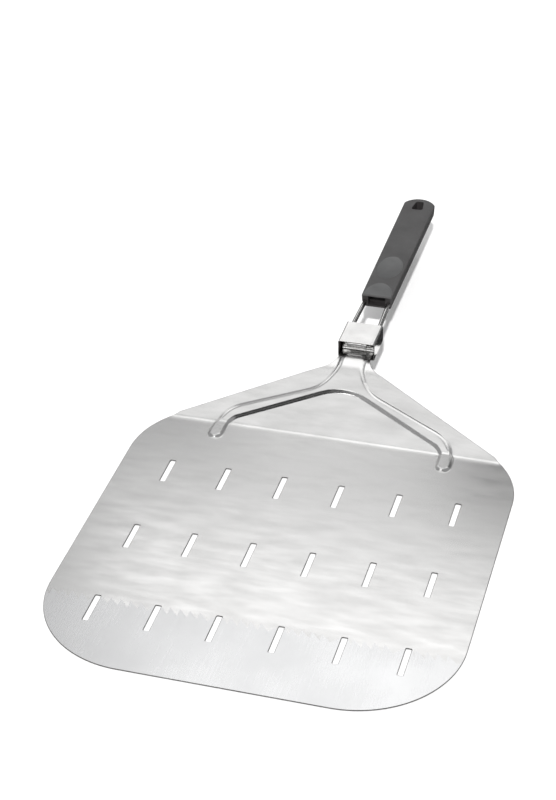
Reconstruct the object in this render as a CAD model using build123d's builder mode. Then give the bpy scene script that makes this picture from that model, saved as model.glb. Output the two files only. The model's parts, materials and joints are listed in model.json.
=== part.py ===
"""Folding pizza peel: a pressed steel blade with a wire handle that folds over it.

The blade, its sloping tang and the rolled knuckle at the end of its neck are one sheet.
The wire handle turns in the knuckle, and a steel sleeve slides over the hinge to lock it.
Millimetres, +Z up. The blade lies on Z = 0 and the handle points along +Y.
The origin is the middle of the whole peel's box, on its underside.
"""
import os
from math import cos, radians, sin

from build123d import *

# Whole peel
TOTAL_LENGTH = 668.0
BLADE_WIDTH = 330.0
SHEET = 1.0

# Blade outline; lengths along the peel are measured from the blade's front edge
FRONT_CORNER_R = 84.0
REAR_CORNER_R = 78.0
REAR_CORNER_AT = 269.0
REAR_ARC_ANGLE = 47.3
NECK_HALF_WIDTH = 14.4
NECK_CORNER_AT = 386.8
NECK_CORNER_R = 20.0
NECK_END_AT = 403.0
TONGUE_HALF_WIDTH = 8.6
TONGUE_START_AT = 405.5
TONGUE_CORNER_RADII = (0.5, 1.0, 0.2)

# Blade side view
BEND_AT = 323.0
TANG_TOP_AT = 384.5
NECK_UNDERSIDE = 34.5
BEND_R = 6.0
TANG_TOP_R = 12.0
RISER_BEND_R = 3.0

# Drain slots
SLOT_WIDTH = 4.5
SLOT_LENGTH = 30.0
SLOT_CORNER_R = 0.8
SLOT_PITCH_X = 49.0
SLOT_PITCH_Y = 91.0
SLOTS_ACROSS = 6
SLOT_ROWS = 3
SLOT_FIELD_AT = 152.0

# Stiffening rib pressed up in the tang: a wishbone whose legs cross the bend
RIB_HEIGHT = 2.2
RIB_NECK_HALF_WIDTH = 9.8
RIB_NECK_END_AT = 402.0
RIB_LEG_OUTSIDE = 105.3
RIB_LEG_INSIDE = 94.2
RIB_LEG_END_AT = 298.5
RIB_APEX_AT = 366.5
RIB_OUTER_CORNER_AT = 367.2
RIB_OUTER_SHOULDER_AT = 331.4
RIB_INNER_SHOULDER_AT = 326.0
RIB_APEX_R = 36.0
RIB_CORNER_RADII = [2.0, 32.0, 22.0, 5.4, 5.4, 12.0]  # from the neck round one leg

# Hinge
HINGE_AT = 409.0
HINGE_HEIGHT = 42.5
WIRE_R = 2.1
KNUCKLE_GAP = 0.06
KNUCKLE_WRAP = 215.0

# Wire handle
WIRE_HALF_SPREAD = 12.8
WIRE_END_HALF_SPREAD = 9.3
WIRE_END_AT = 546.0
WIRE_CORNER_R = 4.0
WIRE_HOOK_TIP = 2.4

# Locking sleeve and the guide inside it
SLEEVE_AT = 403.5
SLEEVE_LENGTH = 33.0
SLEEVE_WIDTH = 33.0
SLEEVE_BOTTOM = 31.0
SLEEVE_TOP = 47.5
SLEEVE_WALL = 0.8
SLEEVE_EDGE_R = 1.6
GUIDE_INSET = 1.5
GUIDE_BLOCK_LENGTH = 15.0
GUIDE_CLEARANCE = 0.4
GUIDE_SIDE_GAP = 0.05
GUIDE_GROOVE_AT = 8.6

# Grip
GRIP_AT = 479.5
GRIP_TOP = 51.3
GRIP_BOTTOM = 36.8
GRIP_FRONT_WIDTH = 28.4
GRIP_SHOULDER_WIDTH = 30.6
GRIP_SHOULDER_AT = 659.5
GRIP_DRAFT = 3.2
GRIP_TOP_EDGE_R = 1.8
GRIP_BOTTOM_EDGE_R = 3.0
SHELL_WALL = 2.5
MOUTH_WIDTH = 16.0
MOUTH_DEPTH = 8.0
MOUTH_CORNER_R = 1.0
CHANNEL_GAP = 0.05
POCKETS = ((484.0, 540.0, 5.8), (552.0, 638.0, 10.0))  # start, end, half width
THUMB_REST_AT = 531.0
THUMB_REST_HALF = (12.0, 20.4)
THUMB_REST_DEPTH = 1.2
THUMB_STOP_HALF = (13.4, 22.0)
THUMB_STOP_DEPTH = 0.8
HANG_HOLE_AT = (646.0, 662.5)
HANG_HOLE_HALF = (5.6, 3.4)
HANG_HOLE_R = 2.6

# Grip screws
SCREWS_AT = (500.0, 622.0)
SCREW_R = 1.5
SCREW_HEAD_R = 2.7
SCREW_SEAT_DEPTH = 1.9
SCREW_HEAD_SINK = 0.3
SCREW_LENGTH = 9.5
SCREW_GAP = 0.05
BOSS_R = 3.6
RECESS_WIDTH = 0.8
RECESS_LENGTH = 3.0
RECESS_DEPTH = 1.1


def along(distance):
    """Y of a point at this distance from the blade's front edge."""
    return distance - TOTAL_LENGTH / 2


def station(distance):
    """A plane across the peel: local X is X, local Y is Z, and its normal is -Y."""
    return Plane.XZ.offset(-along(distance))


def side_strip(corners, radii, thickness, curl=0.0):
    """Side view of a bent sheet, from its underside line; it may end in a rolled curl."""
    with BuildSketch(Plane.YZ) as strip:
        with BuildLine():
            FilletPolyline(corners, radius=radii)
            if curl:
                outer_r = WIRE_R + KNUCKLE_GAP + SHEET
                CenterArc((along(HINGE_AT), HINGE_HEIGHT), outer_r, 0, curl)
            offset(amount=thickness, side=Side.LEFT)
        make_face()
    return strip.sketch


def wire_rod(radius):
    """The bent handle wire, as a rod of this radius."""
    half = [
        (WIRE_HALF_SPREAD, along(HINGE_AT)),
        (WIRE_END_HALF_SPREAD, along(WIRE_END_AT)),
        (WIRE_HOOK_TIP, along(WIRE_END_AT)),
    ]
    route = [(-x, y) for x, y in reversed(half)] + half
    with BuildPart() as rod:
        with BuildLine(Plane.XY.offset(HINGE_HEIGHT)) as path:
            FilletPolyline(route, radius=WIRE_CORNER_R)
        with BuildSketch(Plane(path.line @ 0, z_dir=path.line % 0)):
            Circle(radius)
        sweep(path=path.line)
    return rod.part


def pocket(start, end, half_width, floor):
    """Plan of a hollow inside the grip, with a boss left standing round each screw."""
    with BuildSketch(Plane.XY.offset(floor)) as plan:
        with Locations((0, along((start + end) / 2))):
            Rectangle(2 * half_width, end - start)
        with Locations(*[(0, along(screw)) for screw in SCREWS_AT]):
            Circle(BOSS_R, mode=Mode.SUBTRACT)
    return plan.sketch


# Blade: one sheet with its rib, slots, tang, neck and rolled knuckle
riser_back = HINGE_AT + WIRE_R + KNUCKLE_GAP + SHEET
tang_line = [
    (along(0), 0),
    (along(BEND_AT), 0),
    (along(TANG_TOP_AT), NECK_UNDERSIDE),
]
full_line = tang_line + [(along(riser_back), NECK_UNDERSIDE), (along(riser_back), HINGE_HEIGHT)]
rib_line = tang_line + [(along(HINGE_AT), NECK_UNDERSIDE)]

sheet_side = side_strip(full_line, [BEND_R, TANG_TOP_R, RISER_BEND_R], SHEET, KNUCKLE_WRAP)
rib_outside_side = side_strip(rib_line, [BEND_R, TANG_TOP_R], RIB_HEIGHT + SHEET)
rib_inside_side = side_strip(rib_line, [BEND_R, TANG_TOP_R], RIB_HEIGHT)

rib_half = [
    (RIB_NECK_HALF_WIDTH, along(RIB_NECK_END_AT)),
    (RIB_NECK_HALF_WIDTH, along(RIB_OUTER_CORNER_AT)),
    (RIB_LEG_OUTSIDE, along(RIB_OUTER_SHOULDER_AT)),
    (RIB_LEG_OUTSIDE, along(RIB_LEG_END_AT)),
    (RIB_LEG_INSIDE, along(RIB_LEG_END_AT)),
    (RIB_LEG_INSIDE, along(RIB_INNER_SHOULDER_AT)),
]
rib_corners = rib_half + [(0, along(RIB_APEX_AT))] + [(-x, y) for x, y in reversed(rib_half)]
rib_radii = RIB_CORNER_RADII + [RIB_APEX_R] + RIB_CORNER_RADII[::-1]

with BuildSketch() as rib_plan:
    with BuildLine():
        FilletPolyline(rib_corners, radius=rib_radii, close=True)
    make_face()

with BuildSketch() as rib_hollow_plan:
    add(rib_plan.sketch)
    offset(amount=-SHEET, mode=Mode.REPLACE)

with BuildPart() as rib_outside:
    extrude(rib_outside_side, amount=BLADE_WIDTH / 2, both=True)
    extrude(rib_plan.sketch, amount=HINGE_HEIGHT, mode=Mode.INTERSECT)

with BuildPart() as rib_inside:
    extrude(rib_inside_side, amount=BLADE_WIDTH / 2, both=True)
    extrude(rib_hollow_plan.sketch, amount=HINGE_HEIGHT, mode=Mode.INTERSECT)

half_width = BLADE_WIDTH / 2
front_centre = (half_width - FRONT_CORNER_R, along(FRONT_CORNER_R))
rear_centre = (half_width - REAR_CORNER_R, along(REAR_CORNER_AT))
rear_arc_end = (
    rear_centre[0] + REAR_CORNER_R * cos(radians(REAR_ARC_ANGLE)),
    rear_centre[1] + REAR_CORNER_R * sin(radians(REAR_ARC_ANGLE)),
)
knuckle_back = along(riser_back + SHEET)

with BuildSketch() as blade_plan:
    with BuildLine():
        Line((0, along(0)), (front_centre[0], along(0)))
        CenterArc(front_centre, FRONT_CORNER_R, -90, 90)
        Line((half_width, front_centre[1]), (half_width, rear_centre[1]))
        CenterArc(rear_centre, REAR_CORNER_R, 0, REAR_ARC_ANGLE)
        FilletPolyline(
            rear_arc_end,
            (NECK_HALF_WIDTH, along(NECK_CORNER_AT)),
            (NECK_HALF_WIDTH, along(NECK_END_AT)),
            (TONGUE_HALF_WIDTH, along(TONGUE_START_AT)),
            (TONGUE_HALF_WIDTH, knuckle_back),
            (0, knuckle_back),
            radius=[NECK_CORNER_R, *TONGUE_CORNER_RADII],
        )
        mirror(about=Plane.YZ)
    make_face()
    with Locations((0, along(SLOT_FIELD_AT))):
        with GridLocations(SLOT_PITCH_X, SLOT_PITCH_Y, SLOTS_ACROSS, SLOT_ROWS):
            RectangleRounded(SLOT_WIDTH, SLOT_LENGTH, SLOT_CORNER_R, mode=Mode.SUBTRACT)

with BuildPart() as blade:
    extrude(sheet_side, amount=half_width, both=True)
    extrude(blade_plan.sketch, amount=2 * HINGE_HEIGHT, mode=Mode.INTERSECT)
    add(rib_outside.part)
    add(rib_inside.part, mode=Mode.SUBTRACT)
blade.part.label = "blade"

# Wire handle frame: a loop whose cross-bar turns in the knuckle
with BuildPart() as wire_frame:
    add(wire_rod(WIRE_R))
wire_frame.part.label = "wire_frame"

# Locking sleeve: a square tube of sheet that slides along the wire legs
sleeve_height = SLEEVE_TOP - SLEEVE_BOTTOM
sleeve_middle = (SLEEVE_TOP + SLEEVE_BOTTOM) / 2
with BuildPart() as locking_sleeve:
    with BuildSketch(station(SLEEVE_AT)):
        with Locations((0, sleeve_middle)):
            RectangleRounded(SLEEVE_WIDTH, sleeve_height, SLEEVE_EDGE_R)
            RectangleRounded(
                SLEEVE_WIDTH - 2 * SLEEVE_WALL,
                sleeve_height - 2 * SLEEVE_WALL,
                SLEEVE_EDGE_R - SLEEVE_WALL,
                mode=Mode.SUBTRACT,
            )
    extrude(amount=-SLEEVE_LENGTH)
locking_sleeve.part.label = "locking_sleeve"

# Guide: a moulded block in the sleeve that rides on the wire legs
guide_width = SLEEVE_WIDTH - 2 * SLEEVE_WALL - 2 * GUIDE_SIDE_GAP
guide_bottom = SLEEVE_BOTTOM + SLEEVE_WALL
guide_top = SLEEVE_TOP - SLEEVE_WALL - GUIDE_SIDE_GAP
guide_floor_top = NECK_UNDERSIDE - GUIDE_CLEARANCE
guide_length = SLEEVE_LENGTH - 2 * GUIDE_INSET
groove_half_height = WIRE_R + GUIDE_CLEARANCE
with BuildPart() as sleeve_guide:
    with BuildSketch(station(SLEEVE_AT + GUIDE_INSET)):
        with Locations((0, (guide_bottom + guide_floor_top) / 2)):
            Rectangle(guide_width - 2 * SLEEVE_EDGE_R, guide_floor_top - guide_bottom)
    extrude(amount=-guide_length)
    with BuildSketch(station(SLEEVE_AT + SLEEVE_LENGTH - GUIDE_INSET - GUIDE_BLOCK_LENGTH)):
        with Locations((0, (guide_bottom + guide_top) / 2)):
            RectangleRounded(guide_width, guide_top - guide_bottom, SLEEVE_EDGE_R)
        with Locations((GUIDE_GROOVE_AT + guide_width / 2, HINGE_HEIGHT)):
            Rectangle(guide_width, 2 * groove_half_height, mode=Mode.SUBTRACT)
        with Locations((-GUIDE_GROOVE_AT - guide_width / 2, HINGE_HEIGHT)):
            Rectangle(guide_width, 2 * groove_half_height, mode=Mode.SUBTRACT)
    extrude(amount=-GUIDE_BLOCK_LENGTH)
sleeve_guide.part.label = "sleeve_guide"

# Grip: an upper and a lower moulded shell clamped round the wire
front_half = GRIP_FRONT_WIDTH / 2
shoulder_half = GRIP_SHOULDER_WIDTH / 2
with BuildSketch(Plane.XY.offset(GRIP_TOP)) as grip_plan:
    with BuildLine():
        Line((-front_half, along(GRIP_AT)), (front_half, along(GRIP_AT)))
        Line((front_half, along(GRIP_AT)), (shoulder_half, along(GRIP_SHOULDER_AT)))
        ThreePointArc(
            (shoulder_half, along(GRIP_SHOULDER_AT)),
            (0, along(TOTAL_LENGTH)),
            (-shoulder_half, along(GRIP_SHOULDER_AT)),
        )
        Line((-shoulder_half, along(GRIP_SHOULDER_AT)), (-front_half, along(GRIP_AT)))
    make_face()

with BuildSketch() as hang_hole_plan:
    with BuildLine():
        FilletPolyline(
            (-HANG_HOLE_HALF[0], along(HANG_HOLE_AT[0])),
            (HANG_HOLE_HALF[0], along(HANG_HOLE_AT[0])),
            (HANG_HOLE_HALF[1], along(HANG_HOLE_AT[1])),
            (-HANG_HOLE_HALF[1], along(HANG_HOLE_AT[1])),
            radius=HANG_HOLE_R,
            close=True,
        )
    make_face()

with BuildPart() as grip_body:
    extrude(grip_plan.sketch, amount=GRIP_BOTTOM - GRIP_TOP, taper=GRIP_DRAFT)
    fillet(grip_body.faces().sort_by(Axis.Z)[-1].edges(), GRIP_TOP_EDGE_R)
    fillet(grip_body.faces().sort_by(Axis.Z)[0].edges(), GRIP_BOTTOM_EDGE_R)
    with BuildSketch(Plane.XY.offset(GRIP_TOP)):
        with Locations((0, along(THUMB_REST_AT))):
            Ellipse(*THUMB_REST_HALF)
    extrude(amount=-THUMB_REST_DEPTH, mode=Mode.SUBTRACT)
    with BuildSketch(Plane.XY.offset(GRIP_TOP)):
        with Locations((0, along(GRIP_AT))):
            Ellipse(*THUMB_STOP_HALF)
    extrude(amount=-THUMB_STOP_DEPTH, mode=Mode.SUBTRACT)
    extrude(hang_hole_plan.sketch, amount=GRIP_TOP + 1, mode=Mode.SUBTRACT)
    with BuildSketch(station(GRIP_AT)):
        with Locations((0, (GRIP_TOP + GRIP_BOTTOM) / 2)):
            RectangleRounded(MOUTH_WIDTH, GRIP_TOP - GRIP_BOTTOM - 2 * SHELL_WALL, MOUTH_CORNER_R)
    extrude(amount=-MOUTH_DEPTH, mode=Mode.SUBTRACT)
    add(wire_rod(WIRE_R + CHANNEL_GAP), mode=Mode.SUBTRACT)

with BuildPart() as grip_upper_shell:
    add(split(grip_body.part, bisect_by=Plane.XY.offset(HINGE_HEIGHT), keep=Keep.TOP))
    for start, end, half in POCKETS:
        extrude(
            pocket(start, end, half, HINGE_HEIGHT),
            amount=GRIP_TOP - SHELL_WALL - HINGE_HEIGHT,
            mode=Mode.SUBTRACT,
        )
    with BuildSketch(Plane.XY.offset(HINGE_HEIGHT)):
        with Locations(*[(0, along(screw)) for screw in SCREWS_AT]):
            Circle(SCREW_R + SCREW_GAP)
    extrude(amount=SCREW_LENGTH / 2, mode=Mode.SUBTRACT)
grip_upper_shell.part.label = "grip_upper_shell"

head_seat = GRIP_BOTTOM + SCREW_SEAT_DEPTH
with BuildPart() as grip_lower_shell:
    add(split(grip_body.part, bisect_by=Plane.XY.offset(HINGE_HEIGHT), keep=Keep.BOTTOM))
    for start, end, half in POCKETS:
        extrude(
            pocket(start, end, half, HINGE_HEIGHT),
            amount=-(HINGE_HEIGHT - GRIP_BOTTOM - SHELL_WALL),
            mode=Mode.SUBTRACT,
        )
    with BuildSketch(Plane.XY.offset(GRIP_BOTTOM)):
        with Locations(*[(0, along(screw)) for screw in SCREWS_AT]):
            Circle(SCREW_R + SCREW_GAP)
    extrude(amount=HINGE_HEIGHT, mode=Mode.SUBTRACT)
    with BuildSketch(Plane.XY.offset(GRIP_BOTTOM)):
        with Locations(*[(0, along(screw)) for screw in SCREWS_AT]):
            Circle(SCREW_HEAD_R + SCREW_GAP)
    extrude(amount=SCREW_SEAT_DEPTH, mode=Mode.SUBTRACT)
grip_lower_shell.part.label = "grip_lower_shell"

# Grip screws, put in from below; their heads sit in the lower shell's counterbores
screw_head_bottom = GRIP_BOTTOM + SCREW_HEAD_SINK
with BuildPart() as grip_screws:
    with BuildSketch(Plane.XY.offset(head_seat)):
        with Locations(*[(0, along(screw)) for screw in SCREWS_AT]):
            Circle(SCREW_HEAD_R)
    extrude(amount=screw_head_bottom - head_seat)
    with BuildSketch(Plane.XY.offset(head_seat)):
        with Locations(*[(0, along(screw)) for screw in SCREWS_AT]):
            Circle(SCREW_R)
    extrude(amount=HINGE_HEIGHT + SCREW_LENGTH / 2 - SCREW_GAP - head_seat)
    with BuildSketch(Plane.XY.offset(screw_head_bottom)):
        with Locations(*[(0, along(screw)) for screw in SCREWS_AT]):
            Rectangle(RECESS_WIDTH, RECESS_LENGTH)
            Rectangle(RECESS_LENGTH, RECESS_WIDTH)
    extrude(amount=RECESS_DEPTH, mode=Mode.SUBTRACT)
grip_screws.part.label = "grip_screws"

os.makedirs("parts", exist_ok=True)
for piece in (
    blade,
    wire_frame,
    locking_sleeve,
    sleeve_guide,
    grip_upper_shell,
    grip_lower_shell,
    grip_screws,
):
    export_step(piece.part, f"parts/{piece.part.label}.step")
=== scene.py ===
"""Looks of the folding pizza peel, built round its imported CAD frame.

Metres, +Z up, in the part's own frame: the blade lies on the floor and the handle points along +Y.
Distances along the peel are measured from the blade's front edge, as in the part's own source.
"""

import json
from math import acos, ceil, cos, pi, radians, sin, tan

import bpy
import numpy as np
from mathutils import Matrix, Vector
from mathutils.geometry import delaunay_2d_cdt


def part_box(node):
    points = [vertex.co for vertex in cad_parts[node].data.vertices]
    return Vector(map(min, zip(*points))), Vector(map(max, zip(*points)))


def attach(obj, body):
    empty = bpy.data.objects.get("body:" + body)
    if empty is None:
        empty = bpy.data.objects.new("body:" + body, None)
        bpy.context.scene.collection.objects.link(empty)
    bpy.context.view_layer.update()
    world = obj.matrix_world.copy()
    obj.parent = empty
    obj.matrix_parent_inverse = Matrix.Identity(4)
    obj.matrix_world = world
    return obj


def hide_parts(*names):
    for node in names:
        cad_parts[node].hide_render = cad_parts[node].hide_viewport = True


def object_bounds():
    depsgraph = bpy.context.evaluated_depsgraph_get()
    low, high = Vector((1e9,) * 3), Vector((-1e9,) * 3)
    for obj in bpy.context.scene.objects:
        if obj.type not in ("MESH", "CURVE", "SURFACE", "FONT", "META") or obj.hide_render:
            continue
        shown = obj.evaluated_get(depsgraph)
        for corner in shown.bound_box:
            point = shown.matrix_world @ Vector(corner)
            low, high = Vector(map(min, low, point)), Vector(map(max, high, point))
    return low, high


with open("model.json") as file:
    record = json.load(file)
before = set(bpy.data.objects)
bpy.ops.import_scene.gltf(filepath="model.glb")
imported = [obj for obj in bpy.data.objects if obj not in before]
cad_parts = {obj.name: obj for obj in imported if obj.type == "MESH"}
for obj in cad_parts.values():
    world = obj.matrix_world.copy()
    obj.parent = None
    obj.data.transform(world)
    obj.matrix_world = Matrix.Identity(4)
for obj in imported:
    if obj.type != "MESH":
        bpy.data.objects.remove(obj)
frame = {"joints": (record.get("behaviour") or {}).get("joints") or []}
cad_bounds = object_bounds()


def along(distance):
    """Y of a point at this distance from the blade's front edge."""
    return FRONT + distance


# Places read from the frame
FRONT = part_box("blade")[0].y
HINGE = Vector(next(j["pos_m"] for j in frame["joints"] if j["name"] == "handle_fold"))
HALF_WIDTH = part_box("blade")[1].x
WIRE_R = (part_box("wire_frame")[1].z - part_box("wire_frame")[0].z) / 2
SLEEVE_LOW, SLEEVE_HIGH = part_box("locking_sleeve")
GRIP_LOW, GRIP_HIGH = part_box("grip_upper_shell")

# Blade sheet, as in the part's source
SHEET = 0.001
SHEET_EDGE_R = 0.00042
FRONT_CORNER_R = 0.084
REAR_CORNER_R = 0.078
REAR_CORNER_AT = 0.3029
SHOULDER = (0.1395, 0.3267)
SHOULDER_R = 0.006
NECK_HALF_WIDTH = 0.0144
NECK_CORNER_AT = 0.3868
NECK_CORNER_R = 0.020
NECK_END_AT = 0.403
NECK_END_R = 0.0005
TONGUE_HALF_WIDTH = 0.0086
TONGUE_START_AT = 0.4055
TONGUE_CORNER_R = 0.001
BEND_AT = 0.323
TANG_TOP_AT = 0.3845
NECK_UNDERSIDE = 0.0345
BEND_R = 0.013
TANG_TOP_R = 0.052
RISER_BEND_R = 0.003
KNUCKLE_GAP = 0.00006
KNUCKLE_WRAP = radians(215)

# Drain slots
SLOT_WIDTH = 0.0045
SLOT_LENGTH = 0.030
SLOT_CORNER_R = 0.0008
SLOT_PITCH = (0.049, 0.091)
SLOT_COUNT = (6, 3)
SLOT_FIELD_AT = 0.152

# Pressed rib
RIB_HEIGHT = 0.0022
RIB_NECK_HALF_WIDTH = 0.0098
RIB_LEG_X = (0.0942, 0.1053)
RIB_LEG_END_AT = 0.2985
RIB_NECK_END_AT = 0.3995
RIB_OUTER_CORNER_AT = 0.3672
RIB_OUTER_SHOULDER_AT = 0.3314
RIB_INNER_SHOULDER_AT = 0.326
RIB_APEX_AT = 0.3665
RIB_RADII = [0.004, 0.032, 0.030, 0.0054, 0.0054, 0.012]
RIB_APEX_R = 0.050
RIB_LEG_WALL_HALF = 0.0017
RIB_STEEP_WALL_HALF = 0.0020
RIB_SOFT_WALL_HALF = 0.0032
RIB_STEEPEST = 0.8
RIB_CHANGES_PAST_BEND = [-0.004, 0.010]
RIB_STEEP_FACING = [-0.5, -0.1]

# Wire route
WIRE_HALF_SPREAD = 0.0128
WIRE_END_HALF_SPREAD = 0.0093
WIRE_END_AT = 0.546
WIRE_CORNER_R = 0.004
WIRE_HOOK_TIP = 0.0024
WIRE_END_ROUNDING = [(0.0, 0.80, -70), (0.0002, 0.94, -45), (0.0006, 1.0, 0)]
CHANNEL_R = WIRE_R + 0.00005

# Sleeve
SLEEVE_WALL = 0.0008
SLEEVE_EDGE_R = 0.0016
SLEEVE_LIP_R = 0.0003

# Grip
GRIP_TOP = GRIP_HIGH.z
GRIP_PARTING = GRIP_LOW.z
GRIP_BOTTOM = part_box("grip_lower_shell")[0].z
GRIP_FRONT_HALF = 0.0142
GRIP_SHOULDER_HALF = 0.0153
GRIP_SHOULDER_AT = 0.6595
GRIP_DRAFT = tan(radians(3.2))
GRIP_SIDE_INSET = GRIP_DRAFT * (GRIP_TOP - GRIP_PARTING)
GRIP_CROWN = 0.0009
GRIP_CROWN_POWER = 2.5
GRIP_TOP_EDGE_R = 0.0014
GRIP_BOTTOM_EDGE_R = 0.003
GRIP_SEAM_R = 0.0003
GRIP_SEAM_INSET = GRIP_SIDE_INSET + GRIP_SEAM_R
SEAM_FRONT = GRIP_LOW.y + GRIP_SEAM_INSET
GRIP_FRONT_CORNER_R = 0.0012
GRIP_SHOULDER_R = 0.0016
GRIP_LEAST_CORNER_R = 0.00015
MOUTH_HALF_WIDTH = 0.008
MOUTH_DEPTH = 0.008
MOUTH_WALL = 0.0025
MOUTH_SLOPE = 0.00006
PAD_RIM = 0.00022
PAD_RIM_SHARE = 0.02
THUMB_REST_AT = 0.531
THUMB_REST_HALF = (0.0120, 0.0204)
THUMB_REST_DEPTH = 0.0016
THUMB_STOP_HALF = (0.0134, 0.0220)
THUMB_STOP_DEPTH = 0.0008
PADS = [(along(THUMB_REST_AT), THUMB_REST_HALF), (GRIP_LOW.y, THUMB_STOP_HALF)]
HANG_HOLE_AT = (0.646, 0.6625)
HANG_HOLE_HALF = (0.0056, 0.0034)
HANG_HOLE_R = 0.0026
HANG_HOLE_EDGE_R = 0.0007
SCREWS_AT = (0.500, 0.622)
SCREW_HEAD_R = 0.00275
SCREW_HOLE_R = 0.00155
SCREW_SEAT = 0.0019
SCREW_BLIND = 0.00475
COUNTERBORE_BEYOND = [-0.00003, 0.0, 0.00009, 0.0003]
COUNTERBORE_DEPTHS = [SCREW_SEAT, 0.0003, 0.00009, 0]

# Fineness of the meshes: steps along lines, spots within faces, lines as shares of a width, and how
# many points are worked on together
OUTLINE_STEP = 0.003
KNUCKLE_STEPS = 54
RIB_LINES = (-1, -0.75, -0.5, -0.25, 0, 0.2, 0.4, 0.6, 0.8, 1)
LEVEL_STEP = 0.006
LEVEL_END_GAP = 0.002
BLADE_SPOTS_X = np.arange(-0.160, 0.161, 0.008)
BLADE_SPOTS_RUN = np.arange(0.004, 0.420, 0.008)
SPOT_GAP = 0.003
RIB_SPOT_GAP = 0.004
CHANNEL_STEP = 0.004
AROUND_STEPS = 10
CHANNEL_LINES = (1.0, 0.94, 0.8, 0.6, 0.35)
THUMB_REST_LINES = (1.02, 1.0, 0.98, 0.9, 0.75, 0.55, 0.35, 0.15)
THUMB_STOP_LINES = (1.02, 1.0, 0.98, 0.85, 0.65, 0.45, 0.25)
THUMB_STOP_LINE_GAP = 0.0004
PAD_SPOT_SHARE = 1.1
GRIP_SPOTS_X = np.arange(-0.0105, 0.011, 0.0035)
GRIP_SPOTS_Y = np.arange(GRIP_LOW.y + 0.003, GRIP_HIGH.y, 0.0035)
GRIP_CORNER_POINTS = 6
GRIP_SIDE_POINTS = 46
GRIP_END_POINTS = 16
FRONT_PARTS = 8
FRONT_GAP = 0.0003
FRONT_POINT_GAP = 0.0002
HOLE_STEP = 0.001
HOLE_SPOT_GAP = 0.002
POINTS_AT_ONCE = 2000

# Camera, aimed beside the middle of the CAD box
CAMERA_AIM = (-0.06205, 0.03397)
CAMERA_AZIMUTH = radians(-16.8027)
CAMERA_ELEVATION = radians(34.2765)
CAMERA_ROLL = radians(-1.4740)
CAMERA_DISTANCE = 1.70979
CAMERA_LENS = 87.15

# Floor, key light and surroundings
FLOOR_SIZE = 9
FLOOR_DROP = 0.0003
KEY_DIRECTION = (-0.22, 1.03, -1.0)
KEY_STRENGTH = 3.6
KEY_ANGLE = radians(2.5)
SURROUNDINGS = (0.40, 0.40, 0.405, 1)


# ---- lines in the plane

def rounded_line(corners, radii, turn_step):
    """A line whose corners are rounded by arcs: its points, and its heading at each of them."""
    corners = [np.array(c, float) for c in corners]
    points, headings = [], []
    for i, corner in enumerate(corners):
        back = corners[i - 1] - corner
        ahead = corners[(i + 1) % len(corners)] - corner
        back_heading = np.arctan2(-back[1], -back[0])
        if radii[i] == 0:
            points.append(corner)
            headings.append(np.arctan2(ahead[1], ahead[0]) if i == 0 else back_heading)
            continue
        back = back / np.linalg.norm(back)
        ahead = ahead / np.linalg.norm(ahead)
        turn = pi - acos(np.clip(back @ ahead, -1, 1))
        side = 1 if back[1] * ahead[0] - back[0] * ahead[1] > 0 else -1
        start = corner + back * radii[i] * tan(turn / 2)
        middle = (back + ahead) / np.linalg.norm(back + ahead)
        centre = corner + middle * radii[i] / cos(turn / 2)
        steps = max(2, ceil(turn / turn_step))
        for k in range(steps + 1):
            angle = side * turn * k / steps
            arm = start - centre
            swung = (arm[0] * cos(angle) - arm[1] * sin(angle), arm[0] * sin(angle) + arm[1] * cos(angle))
            points.append(centre + np.array(swung))
            headings.append(back_heading + angle)
    return np.array(points), np.unwrap(headings)


def divided(points, step, closed=True):
    """The same line with its long stretches divided."""
    ends = np.roll(points, -1, axis=0) if closed else points[1:]
    made = []
    for a, b in zip(points, ends):
        count = max(1, ceil(np.linalg.norm(b - a) / step))
        made += [a + (b - a) * k / count for k in range(count)]
    if not closed:
        made.append(points[-1])
    return np.array(made)


def with_levels(loop, levels):
    """The same closed line with a point wherever it crosses one of these distances ahead."""
    for level in levels:
        made = []
        for a, b in zip(loop, np.roll(loop, -1, axis=0)):
            made.append(a)
            low, high = sorted((a[1], b[1]))
            if low + 1e-7 < level < high - 1e-7:
                made.append(a + (b - a) * (level - a[1]) / (b[1] - a[1]))
        loop = np.array(made)
    return loop


def turned_left(loop):
    """The closed line, running anticlockwise."""
    ahead = np.roll(loop, -1, axis=0)
    area = (loop[:, 0] * ahead[:, 1] - ahead[:, 0] * loop[:, 1]).sum()
    return loop if area > 0 else loop[::-1]


def unit(vectors):
    """The vectors at length one."""
    return vectors / np.linalg.norm(vectors, axis=1)[:, None]


def to_right(vectors):
    """The vectors turned a quarter to the right."""
    return np.stack([vectors[:, 1], -vectors[:, 0]], 1)


def right_side(loop):
    """Unit vectors to the right of a closed line at its points, and the stretch that a corner needs."""
    ahead = unit(np.roll(loop, -1, axis=0) - loop)
    both = ahead + np.roll(ahead, 1, axis=0)
    return to_right(unit(both)), 2 / np.linalg.norm(both, axis=1)[:, None]


def moved_right(loop, distance):
    """The closed line moved to its right, which is outwards where the material is on its left."""
    side, stretch = right_side(loop)
    return loop + side * stretch * np.reshape(distance, (-1, 1))


def inside(points, loop):
    """True for the points within a closed line."""
    x, y = points[:, 0, None], points[:, 1, None]
    ahead = np.roll(loop, -1, axis=0)
    crosses = (loop[None, :, 1] > y) != (ahead[None, :, 1] > y)
    rise = np.where(ahead[:, 1] == loop[:, 1], 1, ahead[:, 1] - loop[:, 1])
    meet = loop[:, 0] + (y - loop[:, 1]) * (ahead[:, 0] - loop[:, 0]) / rise
    return (crosses & (x < meet)).sum(1) % 2 == 1


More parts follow.
